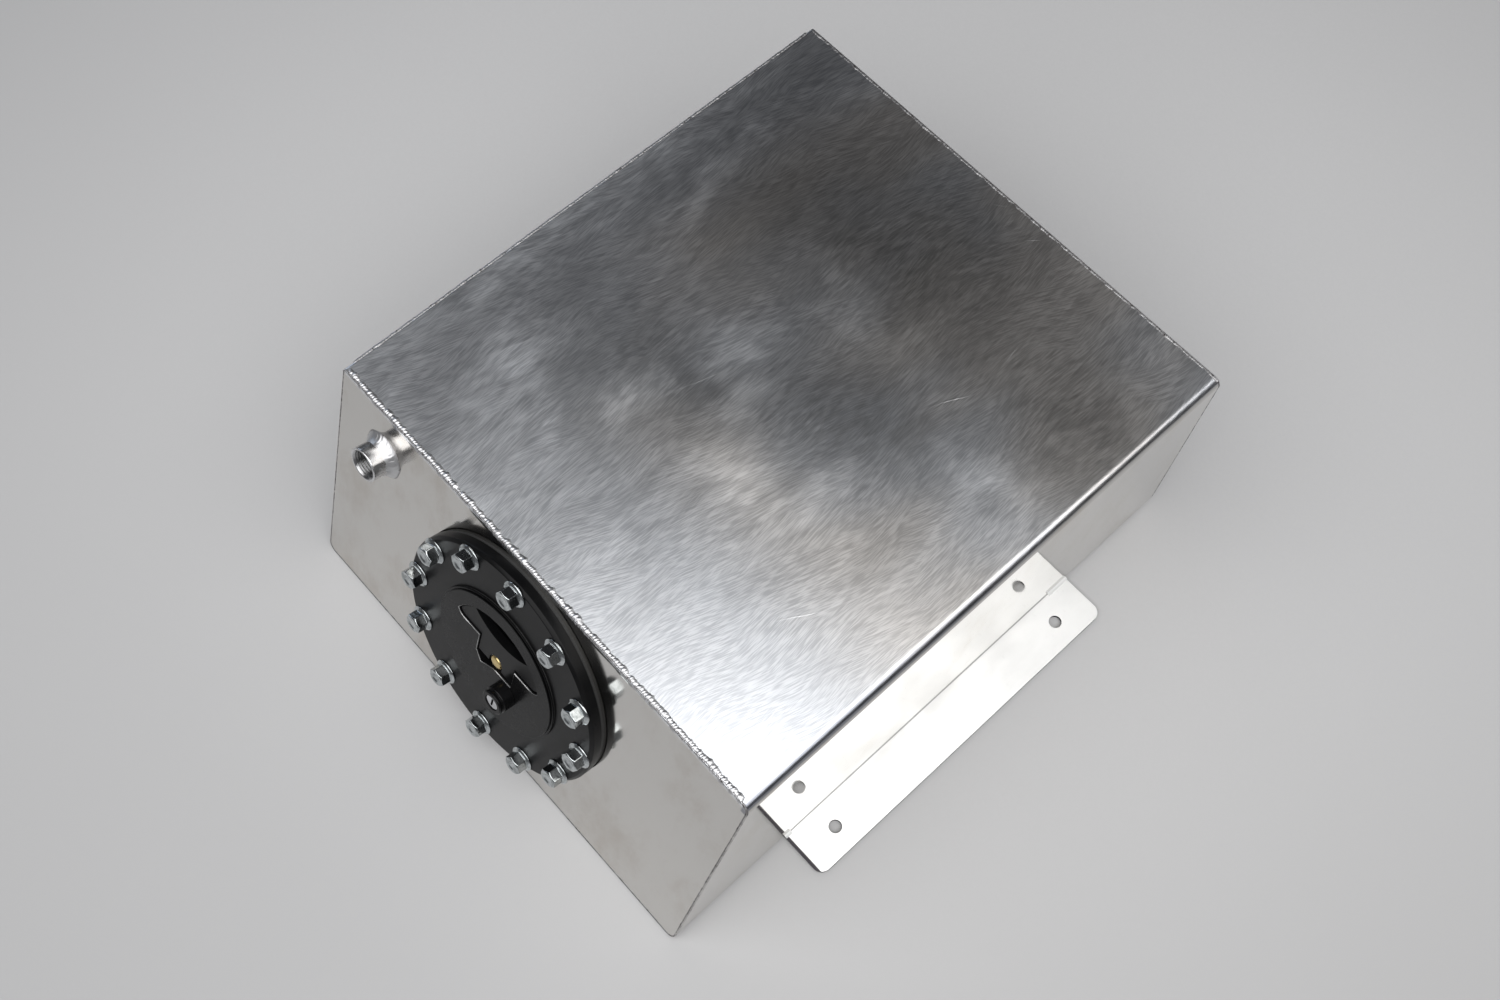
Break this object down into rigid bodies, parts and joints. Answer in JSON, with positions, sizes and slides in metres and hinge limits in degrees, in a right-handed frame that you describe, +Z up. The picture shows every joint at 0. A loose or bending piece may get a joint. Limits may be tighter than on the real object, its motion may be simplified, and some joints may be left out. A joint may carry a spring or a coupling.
{
  "type": "fuel cell tank",
  "caption": "Welded aluminium fuel cell tank with a leaning front wall, a bolted flush filler with latching lever cap and key lock, and side mounting flanges.",
  "frame": {"origin": "middle of the tank's flat base", "axes": "+Z up, +Y towards the rear wall, -Y towards the leaning filler wall, +X to the right of someone facing the filler"},
  "size_m": [0.3334, 0.3716, 0.1422],
  "materials": {
    "sheet_aluminium": "polished sheet with fine scratches",
    "flange_aluminium": "satin sheet",
    "weld_aluminium": "rippled weld bead",
    "turned_aluminium": "turned",
    "black_anodised": "satin black anodised",
    "zinc_steel": "bright zinc plated",
    "spring_steel": "plain steel",
    "brass": "turned brass",
    "chrome": "polished chrome",
    "rubber": "black nitrile rubber",
    "foam": "open-cell safety foam"
  },
  "bodies": {
    "tank": {"tank_wrap": "sheet_aluminium", "front_panel": "sheet_aluminium", "rear_panel": "sheet_aluminium", "front_weld": "weld_aluminium", "rear_weld": "weld_aluminium", "seam_weld": "weld_aluminium", "mount_flange_right": "flange_aluminium", "mount_flange_left": "flange_aluminium", "flange_weld_right": "weld_aluminium", "flange_weld_left": "weld_aluminium", "foam_block": "foam", "vent_bung": "turned_aluminium", "vent_bung_weld": "weld_aluminium", "outlet_bung": "turned_aluminium", "outlet_bung_weld": "weld_aluminium", "nut_ring": "turned_aluminium", "filler_gasket": "rubber", "filler_plate": "black_anodised", "plate_bolts": "zinc_steel", "neck_gasket": "rubber", "filler_neck": "black_anodised", "neck_nut": "black_anodised"},
    "cap": {"cap_body": "black_anodised", "cap_seal": "rubber", "latch_spring": "spring_steel", "lock_housing": "black_anodised"},
    "latch": {"stem": "brass", "latch_bar": "zinc_steel", "latch_nut": "zinc_steel", "hinge_pin": "spring_steel"},
    "lever": {"cap_lever": "black_anodised"},
    "lock": {"lock_plug": "chrome", "lock_cam": "zinc_steel"}
  },
  "joints": [
    {"name": "cap_turn", "type": "hinge", "parent": "tank", "child": "cap", "pos_m": [-0.0019, -0.15933, 0.07748], "axis": [0, -0.9468, 0.3219], "range_deg": [0, 90]},
    {"name": "latch_drop", "type": "slide", "parent": "cap", "child": "latch", "axis": [0, -0.9468, 0.3219], "range_m": [-0.002, 0]},
    {"name": "lever_lift", "type": "hinge", "parent": "latch", "child": "lever", "pos_m": [-0.0019, -0.1563, 0.07645], "axis": [1, 0, 0], "range_deg": [0, 90]},
    {"name": "lock_turn", "type": "hinge", "parent": "cap", "child": "lock", "pos_m": [0.0095, -0.1629, 0.06697], "axis": [0, -0.9468, 0.3219], "range_deg": [0, 90]}
  ],
  "couplings": [
    {"joint": "lever_lift", "follows": "latch_drop", "rad_per_m": -785.4}
  ]
}
